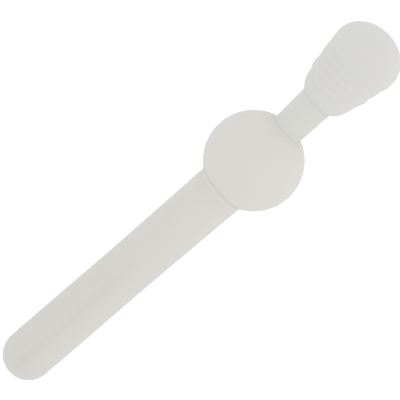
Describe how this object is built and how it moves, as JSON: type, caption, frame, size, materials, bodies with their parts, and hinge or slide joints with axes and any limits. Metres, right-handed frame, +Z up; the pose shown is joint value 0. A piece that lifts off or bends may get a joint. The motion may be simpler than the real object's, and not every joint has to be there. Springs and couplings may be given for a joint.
{
  "type": "saliva ejector tip",
  "caption": "Soft in-line suction tip with a ribbed bulb on a plain neck, a hollow swivel ball holding a check valve, and a round-ended handle tube for a small hose.",
  "frame": {"origin": "middle of the overall length, on the handle's axis; the ball's centre, where the swivel axes cross, is 13.7 mm from it towards +X", "axes": "+X from the hose end towards the bulb along the handle's axis, +Z up, away from the intake slots"},
  "size_m": [0.0994, 0.0192, 0.0192],
  "materials": {
    "milky_soft": "translucent milky silicone, satin",
    "milky_firm": "translucent milky plastic, satin",
    "clear_firm": "natural semi-clear plastic",
    "white_hard": "moulded white plastic, fine satin",
    "seal": "pale grey elastomer",
    "wire": "soft annealed wire, drawn"
  },
  "bodies": {
    "handle": {"handle_tube": "milky_soft", "suction_liner": "clear_firm", "support_wire": "wire", "hose_seal": "seal", "hose_socket": "white_hard", "swivel_stem": "white_hard", "swivel_flange": "white_hard"},
    "swivel": {"swivel_washer": "seal"},
    "hub": {"hub_shell": "milky_soft", "hub_retainer": "milky_firm", "neck_seal": "seal", "valve_seat": "white_hard", "valve_cage": "white_hard"},
    "valve": {"check_ball": "seal"},
    "neck": {"neck_tube": "milky_firm", "tip_oring": "seal"},
    "tip": {"tip_core": "white_hard", "tip_strainer": "clear_firm", "tip_sleeve": "milky_soft", "tip_dome": "milky_soft"}
  },
  "joints": [
    {"name": "swivel_yaw", "type": "hinge", "parent": "handle", "child": "swivel", "pos_m": [0.0137, 0, 0], "axis": [0, 0, 1], "range_deg": [-8.1, 3.9]},
    {"name": "swivel_pitch", "type": "hinge", "parent": "swivel", "child": "hub", "pos_m": [0.0137, 0, 0], "axis": [-0.0366, 0.9993, 0], "range_deg": [-6, 6]},
    {"name": "valve_lift", "type": "slide", "parent": "hub", "child": "valve", "axis": [-0.9993, -0.0366, 0], "range_m": [0, 0.0012]},
    {"name": "neck_spin", "type": "hinge", "parent": "hub", "child": "neck", "pos_m": [0.0137, 0, 0], "axis": [0.9993, 0.0366, 0], "continuous": true},
    {"name": "tip_pull", "type": "slide", "parent": "neck", "child": "tip", "axis": [0.9993, 0.0366, 0], "range_m": [0, 0.012]}
  ]
}
